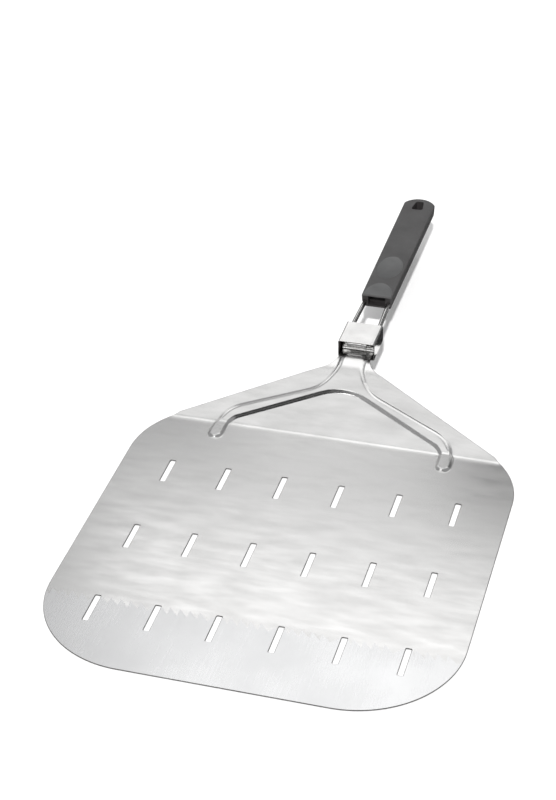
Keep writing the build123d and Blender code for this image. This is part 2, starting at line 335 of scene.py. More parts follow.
def nearest(points, line, closed=True):
    """Distance from each point to a line, positive on its right, and the way straight out from it."""
    ends = np.roll(line, -1, axis=0) if closed else line[1:]
    starts = line if closed else line[:-1]
    run = ends - starts
    distance, out = np.zeros(len(points)), np.zeros((len(points), 2))
    for first in range(0, len(points), POINTS_AT_ONCE):
        part = points[first : first + POINTS_AT_ONCE]
        from_start = part[:, None] - starts[None]
        share = np.clip((from_start * run).sum(2) / (run * run).sum(1), 0, 1)
        gap = from_start - share[:, :, None] * run
        found = (gap * gap).sum(2).argmin(1)
        rows = np.arange(len(part))
        gap, beside, at = gap[rows, found], from_start[rows, found], run[found]
        on_right = np.sign(at[:, 1] * beside[:, 0] - at[:, 0] * beside[:, 1] + 1e-15)
        length = np.linalg.norm(gap, axis=1)
        straight = gap * (on_right / np.maximum(length, 1e-12))[:, None]
        distance[first : first + POINTS_AT_ONCE] = length * on_right
        straight = np.where(length[:, None] > 1e-7, straight, to_right(unit(at)))
        out[first : first + POINTS_AT_ONCE] = straight
    return distance, out


def arc(centre, half, angles):
    """Points of a circle, or of an ellipse with two half widths, at these angles."""
    across, ahead = np.broadcast_to(half, 2)
    return np.stack([centre[0] + across * np.cos(angles), centre[1] + ahead * np.sin(angles)], 1)


def ring_of(centre, half, steps):
    """The closed line of a whole circle or ellipse."""
    return closed_line(arc(centre, half, np.linspace(0, 2 * pi, steps, endpoint=False)))


def closed_line(loop):
    """The loop with its first point repeated at the end."""
    return np.concatenate([loop, loop[:1]])


def grid(across, ahead):
    """Points at all crossings of these coordinates."""
    x, y = np.meshgrid(across, ahead)
    return np.stack([x.ravel(), y.ravel()], 1)


def around(path, distance):
    """The line that goes along one side of an open path, round its end and back along the other side."""
    right = to_right(unit(np.gradient(path, axis=0)))
    heading = np.arctan2(right[-1, 1], right[-1, 0])
    angles = heading + pi * np.arange(1, AROUND_STEPS) / AROUND_STEPS
    cap = arc(path[-1], distance, angles)
    return np.concatenate([path + distance * right, cap, (path - distance * right)[::-1]])


# ---- meshes

def triangulated(loops, lines=(), spots=()):
    """Triangles of the area inside the first loop and outside the others.

    Every loop has the material on its left. Lines are kept as edges and spots as points. Gives the
    plan's points, its triangles and, for each loop, where its points are.
    """
    points, edges = [], []
    for group, closed in [(loop, True) for loop in loops] + [(line, False) for line in lines]:
        first = len(points)
        points += [Vector(p) for p in group]
        edges += [(first + k, first + k + 1) for k in range(len(group) - 1)]
        if closed:
            edges.append((first + len(group) - 1, first))
    points += [Vector(p) for p in spots]
    made, _, faces, from_points, _, _ = delaunay_2d_cdt(points, edges, [], 0, 1e-7, True)
    plan = np.array([tuple(p) for p in made])
    place = {old: new for new, olds in enumerate(from_points) for old in olds}
    faces = np.array([list(f) for f in faces])
    middle = plan[faces].mean(1)
    keep = inside(middle, loops[0])
    for hole in loops[1:]:
        keep &= ~inside(middle, hole)
    starts = np.cumsum([0] + [len(loop) for loop in loops])
    places = [np.array([place[k] for k in range(starts[i], starts[i + 1])]) for i in range(len(loops))]
    return plan, faces[keep], places


def placed(name, data, centre=(0, 0, 0), towards=None, axis="Z"):
    """A new object in the scene, with one of its axes towards a point."""
    thing = bpy.data.objects.new(name, data)
    bpy.context.scene.collection.objects.link(thing)
    thing.location = centre
    if towards is not None:
        thing.rotation_euler = (Vector(towards) - Vector(centre)).to_track_quat(axis, "Y").to_euler()
    return thing


def rounding(radius, degrees):
    """How far in and how far down a rounded edge is at each of these angles."""
    return [(radius * (1 - sin(turn)), radius * (1 - cos(turn))) for turn in np.radians(degrees)]


def raised(plan, height):
    """Points in plan with their height, or with one height for all."""
    return np.column_stack([plan, np.broadcast_to(height, len(plan))])


class Skin:
    """A closed mesh put together from patches and from strips between rows of points.

    A face's kind is the place of its material in the piece's list. Kinds come as one number for all
    faces, or as one for each.
    """

    def __init__(self):
        self.points, self.normals, self.faces, self.kinds, self.count = [], [], [], [], 0

    def add(self, points, normals=None):
        """Adds points, and gives their numbers."""
        points = np.asarray(points, float)
        self.points.append(points)
        self.normals.append(np.zeros_like(points) if normals is None else np.asarray(normals, float))
        self.count += len(points)
        return np.arange(self.count - len(points), self.count)

    def add_raised(self, plan, height):
        """Adds points in plan at their heights, or all at one height, and gives their numbers."""
        return self.add(raised(plan, height))

    def patch(self, numbers, triangles, kind=0):
        """Adds triangles between these points."""
        self.faces += numbers[triangles].tolist()
        self.kinds += np.broadcast_to(kind, len(triangles)).tolist()

    def strips(self, rows, kind=0):
        """Adds four-sided faces between each closed row and the next; their points run the same way."""
        for upper, lower in zip(rows, rows[1:]):
            self.faces += np.stack([upper, lower, np.roll(lower, -1), np.roll(upper, -1)], 1).tolist()
            self.kinds += np.broadcast_to(kind, len(upper)).tolist()

    def cap(self, numbers):
        """One face with these corners."""
        self.faces.append(list(numbers))
        self.kinds.append(0)

    def build(self, name, body, nodes, materials, smooth_angle=None):
        """Makes the piece, which stands for CAD nodes and rides on their body."""
        mesh = bpy.data.meshes.new(name)
        mesh.from_pydata(np.concatenate(self.points).tolist(), [], self.faces)
        for material in materials:
            mesh.materials.append(material)
        mesh.polygons.foreach_set("material_index", [int(k) for k in self.kinds])
        mesh.validate()
        mesh.shade_smooth()
        piece = placed(name, mesh)
        if smooth_angle is None:
            mesh.normals_split_custom_set_from_vertices(np.concatenate(self.normals).tolist())
        else:
            mesh.set_sharp_from_angle(angle=smooth_angle)
            weighted = piece.modifiers.new("flat faces stay flat", "WEIGHTED_NORMAL")
            weighted.keep_sharp = True
            weighted.weight = 80
        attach(piece, body)
        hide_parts(*nodes)


# ---- the blade's sheet

def sheet_profile():
    """Side view of the sheet's underside: distance along the sheet, Y, Z and heading."""
    back = HINGE.y + WIRE_R + KNUCKLE_GAP + SHEET
    corners = [
        (along(0), 0),
        (along(BEND_AT), 0),
        (along(TANG_TOP_AT), NECK_UNDERSIDE),
        (back, NECK_UNDERSIDE),
        (back, HINGE.z),
    ]
    points, headings = rounded_line(corners, [0, BEND_R, TANG_TOP_R, RISER_BEND_R, 0], radians(3))
    angles = np.linspace(0, KNUCKLE_WRAP, KNUCKLE_STEPS)[1:]
    curl = arc(HINGE.yz, back - HINGE.y, angles)
    points = np.concatenate([points, curl])
    headings = np.concatenate([headings, headings[-1] + angles])
    run = np.linalg.norm(np.diff(points, axis=0), axis=1)
    return np.concatenate([[0], np.cumsum(run)]), points[:, 0], points[:, 1], headings


RUN, RUN_Y, RUN_Z, RUN_HEADING = sheet_profile()
RISES = RUN_Y <= along(TONGUE_START_AT + SHEET)


def on_sheet(plan):
    """Flat places in the sheet, X and distance along it, of points seen from above."""
    plan = np.asarray(plan, float)
    return np.stack([plan[:, 0], np.interp(along(plan[:, 1]), RUN_Y[RISES], RUN[RISES])], 1)


def bend_levels():
    """Distances along the sheet at which its side view turns."""
    turning = np.abs(np.diff(RUN_HEADING)) > 1e-6
    return RUN[:-1][turning | np.roll(turning, 1)][:: 2]


def rib_outline():
    """Middle of the rib's wall, in the flat sheet."""
    half = [
        (RIB_NECK_HALF_WIDTH, RIB_NECK_END_AT),
        (RIB_NECK_HALF_WIDTH, RIB_OUTER_CORNER_AT),
        (RIB_LEG_X[1], RIB_OUTER_SHOULDER_AT),
        (RIB_LEG_X[1], RIB_LEG_END_AT),
        (RIB_LEG_X[0], RIB_LEG_END_AT),
        (RIB_LEG_X[0], RIB_INNER_SHOULDER_AT),
    ]
    corners = half + [(0, RIB_APEX_AT)] + [(-x, y) for x, y in reversed(half)]
    radii = RIB_RADII + [RIB_APEX_R] + RIB_RADII[::-1]
    line, _ = rounded_line(corners, radii, radians(7))
    return turned_left(divided(on_sheet(line), OUTLINE_STEP))


def rib_wall(run, facing):
    """Half the width of the rib's wall, and how far it bulges.

    On the tang the wall is steep where it faces forwards, and wide and bulging elsewhere.
    """
    bend = np.interp(along(BEND_AT), RUN_Y[RISES], RUN[RISES])
    tang = np.interp(run - bend, RIB_CHANGES_PAST_BEND, [0, 1])
    bulging = tang * np.interp(facing, RIB_STEEP_FACING, [0, 1])
    tang_half = RIB_STEEP_WALL_HALF * (tang - bulging) + RIB_SOFT_WALL_HALF * bulging
    return RIB_LEG_WALL_HALF * (1 - tang) + tang_half, bulging


RIB = rib_outline()


def rib_rise(plan):
    """Height of the rib at places in the flat sheet, and its slope."""
    distance, out = nearest(plan, RIB)
    half, bulging = rib_wall(plan[:, 1], out[:, 1])
    share = np.clip(distance / half, -1, 1)
    height = 0.5 - 0.5 * np.sin(pi / 2 * share)
    fall = pi / 4 * np.cos(pi / 2 * share)
    from_crest, from_foot = (1 + share) / 2, (1 - share) / 2
    upper = from_crest < RIB_STEEPEST
    bulge = np.where(upper, 1 - from_crest**2 / RIB_STEEPEST, from_foot**2 / (1 - RIB_STEEPEST))
    bulge_fall = np.where(upper, from_crest / RIB_STEEPEST, from_foot / (1 - RIB_STEEPEST))
    height += (bulge - height) * bulging
    fall += (bulge_fall - fall) * bulging
    return RIB_HEIGHT * height, -out * (RIB_HEIGHT * fall / half)[:, None]


def sheet_surface(plan, level, rise, slope):
    """Points and normals of the bent sheet at this level in its thickness, and its own axes."""
    heading = np.interp(plan[:, 1], RUN, RUN_HEADING)
    y = np.interp(plan[:, 1], RUN, RUN_Y)
    z = np.interp(plan[:, 1], RUN, RUN_Z)
    nothing = np.zeros(len(plan))
    up = np.stack([nothing, -np.sin(heading), np.cos(heading)], 1)
    forward = np.stack([nothing, np.cos(heading), np.sin(heading)], 1)
    across = np.array([1.0, 0, 0])
    points = np.stack([plan[:, 0], y, z], 1) + up * (level + rise)[:, None]
    normals = unit(up - across * slope[:, :1] - forward * slope[:, 1:])
    return points, normals, up, forward


def blade_outline():
    """Edge of the sheet, flat, running anticlockwise."""
    half = [
        (HALF_WIDTH, 0, FRONT_CORNER_R),
        (HALF_WIDTH, REAR_CORNER_AT, REAR_CORNER_R),
        (*SHOULDER, SHOULDER_R),
        (NECK_HALF_WIDTH, NECK_CORNER_AT, NECK_CORNER_R),
        (NECK_HALF_WIDTH, NECK_END_AT, NECK_END_R),
        (TONGUE_HALF_WIDTH, TONGUE_START_AT, TONGUE_CORNER_R),
    ]
    corners = half + [(TONGUE_HALF_WIDTH, TONGUE_START_AT + SHEET, 0)]
    corners += [(-x, y, r) for x, y, r in reversed(corners)]
    line, _ = rounded_line([c[:2] for c in corners], [c[2] for c in corners], radians(3))
    line = on_sheet(line)
    tongue = np.abs(line[:, 1] - line[:, 1].max()) < 1e-9
    line[tongue, 1] = RUN[-1]
    return turned_left(divided(line, OUTLINE_STEP))


def slot_outlines():
    """The drain slots' edges, running clockwise so that the sheet is on their left."""
    loops = []
    signs = ((-1, -1), (1, -1), (1, 1), (-1, 1))
    for i in range(SLOT_COUNT[0]):
        for k in range(SLOT_COUNT[1]):
            x = (i - (SLOT_COUNT[0] - 1) / 2) * SLOT_PITCH[0]
            y = SLOT_FIELD_AT + (k - (SLOT_COUNT[1] - 1) / 2) * SLOT_PITCH[1]
            box = [(x + a * SLOT_WIDTH / 2, y + b * SLOT_LENGTH / 2) for a, b in signs]
            line, _ = rounded_line(box, [SLOT_CORNER_R] * 4, radians(15))
            loops.append(turned_left(on_sheet(line))[::-1])
    return loops


def make_blade(satin, sheared, rolled):
    """The blade: one sheet with its slots, pressed rib, sloping tang, neck and rolled knuckle."""
    levels = bend_levels()
    outline = with_levels(blade_outline(), levels)
    edges = [outline] + slot_outlines()
    loops = [moved_right(edge, -SHEET_EDGE_R) for edge in edges]
    half, _ = rib_wall(RIB[:, 1], right_side(RIB)[0][:, 1])
    ribs = [with_levels(moved_right(RIB, half * share), levels) for share in RIB_LINES]
    lines = [closed_line(rib) for rib in ribs]
    for level in levels:
        ends = loops[0][np.abs(outline[:, 1] - level) < 1e-9]
        if len(ends) > 1:
            left, right = ends[ends[:, 0].argmin()], ends[ends[:, 0].argmax()]
            span = np.array([[left[0] + LEVEL_END_GAP, level], [right[0] - LEVEL_END_GAP, level]])
            lines.append(np.concatenate([[left], divided(span, LEVEL_STEP, closed=False), [right]]))
    spots = grid(BLADE_SPOTS_X, BLADE_SPOTS_RUN)
    clear = inside(spots, moved_right(outline, -SPOT_GAP))
    clear &= np.abs(nearest(spots, RIB)[0]) > RIB_SPOT_GAP
    for slot in edges[1:]:
        clear &= ~inside(spots, moved_right(slot[::-1], SPOT_GAP))
    for level in levels:
        clear &= np.abs(spots[:, 1] - level) > SPOT_GAP
    plan, triangles, places = triangulated(loops, lines, spots[clear])

    skin = Skin()
    rise, slope = rib_rise(plan)
    top_points, top_normals, _, _ = sheet_surface(plan, SHEET, rise, slope)
    low_points, low_normals, _, _ = sheet_surface(plan, 0.0, rise, slope)
    top = skin.add(top_points, top_normals)
    low = skin.add(low_points, -low_normals)
    # Known fault: this sets a distance along the sheet against a Y, so the rolled finish, meant for the
    # tongue alone, starts 71.5 mm from the front edge, with a ragged border
    is_rolled = plan[triangles].mean(1)[:, 1] > along(TONGUE_START_AT)
    skin.patch(top, triangles, 2 * is_rolled)
    skin.patch(low, triangles[:, ::-1], 2 * is_rolled)
    for edge, place in zip(edges, places):
        side, _ = right_side(edge)
        no_rise, no_slope = np.zeros(len(edge)), np.zeros((len(edge), 2))
        rows = [top[place]]
        for tilt, level in ((45, SHEET), (90, SHEET), (90, 0), (135, 0)):
            inwards = SHEET_EDGE_R * (1 - sin(radians(tilt)))
            depth = SHEET_EDGE_R * (1 - abs(cos(radians(tilt))))
            at = level - depth if level else depth
            points, _, up, forward = sheet_surface(moved_right(edge, -inwards), at, no_rise, no_slope)
            out = side[:, :1] * np.array([1.0, 0, 0]) + side[:, 1:] * forward
            rows.append(skin.add(points, out * sin(radians(tilt)) + up * cos(radians(tilt))))
        skin.strips(rows + [low[place]], 1)
    skin.build("blade_sheet", "peel_blade", ["blade"], [satin, sheared, rolled])


# ---- wire and sleeve

def wire_route():
    """Centre line of the wire in plan, from one hook's tip to the other's, with its heading."""
    half = [
        (WIRE_HALF_SPREAD, HINGE.y),
        (WIRE_END_HALF_SPREAD, along(WIRE_END_AT)),
        (WIRE_HOOK_TIP, along(WIRE_END_AT)),
    ]
    corners = [(-x, y) for x, y in reversed(half)] + half
    return rounded_line(corners, [0] + [WIRE_CORNER_R] * 4 + [0], radians(5))


def make_wire(material):
    """The handle's wire: a swept rod whose cut ends are slightly rounded."""
    route, headings = wire_route()
    angles = np.linspace(0, 2 * pi, 32, endpoint=False)
    skin = Skin()

    def ring(which, shift, share, lean):
        """Adds a ring of points round one point of the route, moved along it and made smaller."""
        heading = headings[which]
        ahead = np.array([cos(heading), sin(heading), 0])
        side = np.array([sin(heading), -cos(heading), 0])
        arm = np.outer(np.cos(angles), side) + np.outer(np.sin(angles), [0, 0, 1])
        centre = np.array([*route[which], HINGE.z]) + ahead * shift
        return skin.add(centre + arm * WIRE_R * share, arm * cos(lean) + ahead * sin(lean))

    rows = [ring(0, shift, share, radians(lean)) for shift, share, lean in WIRE_END_ROUNDING]
    rows += [ring(k, 0, 1, 0) for k in range(1, len(route) - 1)]
    rows += [ring(-1, -shift, share, -radians(lean)) for shift, share, lean in reversed(WIRE_END_ROUNDING)]
    skin.strips(rows)
    skin.cap(rows[0])
    skin.cap(rows[-1][::-1])
    skin.build("handle_wire", "handle", ["wire_frame"], [material])


def make_sleeve(polished, inside_finish_painted_shade):
    """The locking sleeve: a square tube of sheet with rounded edges and lips."""
    low, high = SLEEVE_LOW, SLEEVE_HIGH
    corners = [(low.x, low.z), (high.x, low.z), (high.x, high.z), (low.x, high.z)]
    line, _ = rounded_line(corners, [SLEEVE_EDGE_R] * 4, radians(9))
    outer = divided(turned_left(line), OUTLINE_STEP)
    side, _ = right_side(outer)
    skin = Skin()
    leans = [0, 30, 60, 90]
    turn = [(*edge, radians(lean)) for edge, lean in zip(rounding(SLEEVE_LIP_R, leans), leans)]
    rows = []

    def row(inset, y, facing, lean):
        """Adds the outline this far inwards, facing outwards or inwards and leaning along the tube."""
        loop = moved_right(outer, -inset)
        normals = np.insert(side * facing * cos(lean), 1, sin(lean), axis=1)
        rows.append(skin.add(np.insert(loop, 1, y, axis=1), normals))

    for back, inset, lean in reversed(turn):
        row(inset, low.y + back, 1, -lean)
    for back, inset, lean in turn:
        row(inset, high.y - back, 1, lean)
    for back, inset, lean in reversed(turn):
        row(SLEEVE_WALL - inset, high.y - back, -1, lean)
    for back, inset, lean in turn:
        row(SLEEVE_WALL - inset, low.y + back, -1, -lean)
    skin.strips(rows[:12])
    # The tube's inside takes the darker mill finish: painted shade inside the sleeve.
    skin.strips(rows[11:13], kind=1)
    skin.strips(rows[12:] + [rows[0]])
    materials = [polished, inside_finish_painted_shade]
    skin.build("lock_sleeve", "sleeve", ["locking_sleeve"], materials)


# ---- grip

def channel_lines():
    """Lines along both legs of the wire's channel in a parting face."""
    route, _ = wire_route()
    leg = divided(route[len(route) // 2 :], CHANNEL_STEP, closed=False)
    lines = []
    for share in CHANNEL_LINES:
        line = around(leg, CHANNEL_R * share)
        lines += [line, line * [-1, 1]]
    return lines


def cut_at_front(line):
    """The line from where it comes in over the front edge to where it leaves again."""
    first = np.argmax(line[:, 1] > SEAM_FRONT + FRONT_GAP)
    last = len(line) - np.argmax(line[::-1, 1] > SEAM_FRONT + FRONT_GAP)
    ends = []
    for outer, inner in ((line[first - 1], line[first]), (line[last % len(line)], line[last - 1])):
        ends.append(outer + (inner - outer) * (SEAM_FRONT - outer[1]) / (inner[1] - outer[1]))
    return np.concatenate([ends[:1], line[first:last], ends[1:]])


def mouth_lines():
    """Lines round the mouth in a parting face: the edge and the foot of its steep wall."""
    lines = []
    for inset in (0.0, MOUTH_SLOPE):
        half, end = MOUTH_HALF_WIDTH - inset, GRIP_LOW.y + MOUTH_DEPTH - inset
        lines.append(np.array([[half, SEAM_FRONT], [half, end], [-half, end], [-half, SEAM_FRONT]]))
    return lines


def hollow_height(plan, mouth_height):
    """Depth of the wire's channel and of the mouth at places in a parting face."""
    route, _ = wire_route()
    distance, _ = nearest(plan, divided(route, CHANNEL_STEP, closed=False), closed=False)
    channel = np.sqrt(np.clip(CHANNEL_R**2 - distance**2, 0, None))
    within = np.abs(plan[:, 0]) < MOUTH_HALF_WIDTH - MOUTH_SLOPE / 2
    within &= plan[:, 1] < GRIP_LOW.y + MOUTH_DEPTH - MOUTH_SLOPE / 2
    return np.where(within, mouth_height, channel)


def grip_half(y):
    """Half the grip's width on its top face: it widens towards its end."""
    return np.interp(y, [GRIP_LOW.y, along(GRIP_SHOULDER_AT)], [GRIP_FRONT_HALF, GRIP_SHOULDER_HALF])


def grip_loop(inset):
    """Plan of the grip this far inside its widest outline, running anticlockwise.

    Every loop has its points in the same order.
    """
    front = GRIP_LOW.y + inset
    half = grip_half(front) - inset
    corner = max(GRIP_FRONT_CORNER_R - inset, GRIP_LEAST_CORNER_R)
    start = raised(np.array(FRONT_SHARES) * (half - corner), front)
    angles = np.linspace(-pi / 2, 0, GRIP_CORNER_POINTS)
    turn = arc((half - corner, front + corner), corner, angles)

    rise = GRIP_HIGH.y - along(GRIP_SHOULDER_AT)
    end_radius = (GRIP_SHOULDER_HALF**2 + rise**2) / (2 * rise)
    centre = GRIP_HIGH.y - end_radius
    corner = max(GRIP_SHOULDER_R - inset, GRIP_LEAST_CORNER_R)
    across = GRIP_SHOULDER_HALF - inset - corner
    ahead = centre + np.sqrt((end_radius - inset - corner) ** 2 - across**2)
    lean = np.arctan2(ahead - centre, across)
    shoulder = arc((across, ahead), corner, np.linspace(0, lean, GRIP_CORNER_POINTS))
    end = arc((0, centre), end_radius - inset, np.linspace(lean, pi / 2, GRIP_END_POINTS)[1:])

    side = np.linspace(turn[-1], shoulder[0], GRIP_SIDE_POINTS)[1:-1]
    right = np.concatenate([start[:-1], turn, side, shoulder, end])
    left = (right * [-1, 1])[::-1]
    return np.concatenate([right, left[1:-1]])


def pad_shares(plan):
    """For the thumb rest and for the scoop: below one within it, and nothing at its middle."""
    return [np.hypot(plan[:, 0] / half[0], (plan[:, 1] - y) / half[1]) for y, half in PADS]


def grip_top(plan):
    """Height of the grip's top face: crowned, with the thumb rest and the scoop at its front."""
    crown = GRIP_CROWN * np.abs(plan[:, 0] / grip_half(plan[:, 1])) ** GRIP_CROWN_POWER
    rest, stop = pad_shares(plan)
    rest_rim, stop_rim = [PAD_RIM * np.clip((1 - share) / PAD_RIM_SHARE, 0, 1) for share in (rest, stop)]
    dish = rest_rim + THUMB_REST_DEPTH * np.clip(1 - rest**2, 0, 1)
    scoop = stop_rim + THUMB_STOP_DEPTH * np.clip(1 - stop, 0, 1)
    return GRIP_TOP - crown - dish - scoop


def hole_outline():
    """The hanging hole's edge, running clockwise."""
    corners = [
        (-HANG_HOLE_HALF[0], along(HANG_HOLE_AT[0])),
        (HANG_HOLE_HALF[0], along(HANG_HOLE_AT[0])),
        (HANG_HOLE_HALF[1], along(HANG_HOLE_AT[1])),
        (-HANG_HOLE_HALF[1], along(HANG_HOLE_AT[1])),
    ]
    line, _ = rounded_line(corners, [HANG_HOLE_R] * 4, radians(10))
    return turned_left(divided(line, HOLE_STEP))[::-1]


def front_shares():
    """Places on the front edge where lines of the parting face meet it, as shares of its straight half."""
    half = grip_half(SEAM_FRONT) - GRIP_SEAM_INSET
    straight = half - max(GRIP_FRONT_CORNER_R - GRIP_SEAM_INSET, GRIP_LEAST_CORNER_R)
    crossings = {round(abs(float(line[end, 0])), 9) for line in OPENINGS for end in (0, -1)}
    even = {straight * k / FRONT_PARTS for k in range(FRONT_PARTS + 1)}
    clear = {e for e in even if all(abs(e - c) > FRONT_POINT_GAP for c in crossings)}
    return [c / straight for c in sorted(crossings | clear | {straight})]


def front_kinds(loop, kind):
    """This kind on the front edge's straight part and nothing elsewhere along the loop."""
    places, straight = np.arange(len(loop)), len(FRONT_SHARES) - 1
    return np.where((places < straight) | (places >= len(loop) - straight), kind, 0)


def top_lines():
    """Lines round the thumb rest and the scoop that the top face's triangles follow."""
    rest, rest_half = (0, along(THUMB_REST_AT)), np.array(THUMB_REST_HALF)
    lines = [ring_of(rest, share * rest_half, 64) for share in THUMB_REST_LINES]
    gap = GRIP_TOP_EDGE_R + THUMB_STOP_LINE_GAP
    for share in THUMB_STOP_LINES:
        line = arc((0, GRIP_LOW.y), share * np.array(THUMB_STOP_HALF), np.linspace(0, pi, 40))
        within = (line[:, 1] > GRIP_LOW.y + gap) & (np.abs(line[:, 0]) < GRIP_FRONT_HALF - gap)
        lines.append(line[within])
    return lines


OPENINGS = [cut_at_front(line) for line in channel_lines()] + mouth_lines()
FRONT_SHARES = front_shares()
HOLE = hole_outline()


def make_upper_shell(charcoal, pad_painted_light, inside_and_shade):
    """Upper half of the grip."""
    mouth_height = GRIP_TOP - MOUTH_WALL - GRIP_PARTING
    skin = Skin()

    top_loops = [grip_loop(GRIP_TOP_EDGE_R), moved_right(HOLE, -HANG_HOLE_EDGE_R)]
    spots = grid(GRIP_SPOTS_X, GRIP_SPOTS_Y)
    clear = ~inside(spots, moved_right(HOLE[::-1], HOLE_SPOT_GAP)) & inside(spots, grip_loop(SPOT_GAP))
    clear &= np.min(pad_shares(spots), axis=0) > PAD_SPOT_SHARE
    plan, triangles, places = triangulated(top_loops, top_lines(), spots[clear])
    middles = plan[triangles].mean(1)
    top = skin.add_raised(plan, grip_top(plan))
    # Painted light: the thumb rest and the scoop take the lighter pad plastic.
    skin.patch(top, triangles, np.min(pad_shares(middles), axis=0) < 1)

    low_loops = [grip_loop(GRIP_SEAM_INSET), moved_right(HOLE, -GRIP_SEAM_R)]
    bores = [ring_of((0, along(at)), SCREW_HOLE_R * share, 24) for at in SCREWS_AT for share in (1, 0.98)]
    low_plan, low_triangles, low_places = triangulated(low_loops, OPENINGS + bores)
    height = hollow_height(low_plan, mouth_height)
    for at in SCREWS_AT:
        radius = np.hypot(low_plan[:, 0], low_plan[:, 1] - along(at))
        height = np.where(radius < 0.99 * SCREW_HOLE_R, SCREW_BLIND, height)
    low = skin.add_raised(low_plan, GRIP_PARTING + height)
    skin.patch(low, low_triangles[:, ::-1], 2)

    rows = [top[places[0]]]
    edge_top = grip_top(top_loops[0])
    for inset, drop in rounding(GRIP_TOP_EDGE_R, [20, 40, 60, 80, 90]):
        rows.append(skin.add_raised(grip_loop(inset + GRIP_DRAFT * drop), edge_top - drop))
    depths = hollow_height(low_loops[0], mouth_height)
    for inset, rise in rounding(GRIP_SEAM_R, [90, 45]):
        rows.append(skin.add_raised(grip_loop(GRIP_SIDE_INSET + inset), GRIP_PARTING + (rise + depths)))
    skin.strips(rows[:5])
    # Painted shade: the front face's straight part takes the darker inside plastic, for the shade on it.
    skin.strips(rows[4:] + [low[low_places[0]]], front_kinds(edge_top, 2))

    rows = [top[places[1]]]
    hole_top = grip_top(top_loops[1])
    for inset, drop in rounding(HANG_HOLE_EDGE_R, [30, 60, 90]):
        rows.append(skin.add_raised(moved_right(HOLE, -inset), hole_top - drop))
    rows.append(skin.add_raised(HOLE, GRIP_PARTING + GRIP_SEAM_R))
    skin.strips(rows[:-1])
    # Painted shade: the hanging hole's wall takes the darker inside plastic, for the shade in the hole.
    skin.strips(rows[-2:] + [low[low_places[1]]], 2)
    materials = [charcoal, pad_painted_light, inside_and_shade]
    skin.build("grip_top", "handle", ["grip_upper_shell"], materials, radians(30))


def make_lower_shell(charcoal, inside_and_shade):
    """Lower half of the grip, with the screws' counterbores."""
    mouth_height = GRIP_PARTING - MOUTH_WALL - GRIP_BOTTOM
    bores = [ring_of((0, along(at)), SCREW_HOLE_R, 24)[-2::-1] for at in SCREWS_AT]
    skin = Skin()

    top_loops = [grip_loop(GRIP_SEAM_INSET), moved_right(HOLE, -GRIP_SEAM_R)] + bores
    plan, triangles, places = triangulated(top_loops, OPENINGS)
    top = skin.add_raised(plan, GRIP_PARTING - hollow_height(plan, mouth_height))
    skin.patch(top, triangles, 1)

    draft = GRIP_DRAFT * (GRIP_TOP - GRIP_BOTTOM)
    low_loops = [grip_loop(draft + GRIP_BOTTOM_EDGE_R), moved_right(HOLE, -GRIP_SEAM_R)] + bores
    radii = [SCREW_HEAD_R + beyond for beyond in reversed(COUNTERBORE_BEYOND)]
    rings = [ring_of((0, along(at)), radius, 48) for at in SCREWS_AT for radius in radii]
    low_plan, low_triangles, low_places = triangulated(low_loops, rings)
    depth = np.zeros(len(low_plan))
    for at in SCREWS_AT:
        beyond = np.hypot(low_plan[:, 0], low_plan[:, 1] - along(at)) - SCREW_HEAD_R
        depth += np.interp(beyond, COUNTERBORE_BEYOND, COUNTERBORE_DEPTHS)
    low = skin.add_raised(low_plan, GRIP_BOTTOM + depth)
    skin.patch(low, low_triangles[:, ::-1])

    depths = hollow_height(top_loops[0], mouth_height)
    rows = [top[places[0]]]
    for inset, drop in rounding(GRIP_SEAM_R, [45, 90]):
        rows.append(skin.add_raised(grip_loop(GRIP_SIDE_INSET + inset), GRIP_PARTING - (drop + depths)))
    for inset, rise in rounding(GRIP_BOTTOM_EDGE_R, [90, 75, 60, 45, 30, 15]):
        rows.append(skin.add_raised(grip_loop(draft + inset), GRIP_BOTTOM + rise))
    # Painted shade: the front face's straight part takes the darker inside plastic, for the shade on it.
    skin.strips(rows + [low[low_places[0]]], front_kinds(depths, 1))
    upper = skin.add_raised(HOLE, GRIP_PARTING - GRIP_SEAM_R)
    lower = skin.add_raised(HOLE, GRIP_BOTTOM + GRIP_SEAM_R)
    # Painted shade: the hanging hole's wall takes the darker inside plastic, for the shade in the hole.
    skin.strips([top[places[1]], upper, lower, low[low_places[1]]], 1)
    for top_place, low_place in zip(places[2:], low_places[2:]):
        skin.strips([top[top_place], low[low_place]], 1)
    materials = [charcoal, inside_and_shade]
    skin.build("grip_underside", "handle", ["grip_lower_shell"], materials, radians(30))


# ---- materials

NOISE_LOW, NOISE_HIGH = 0.3, 0.7


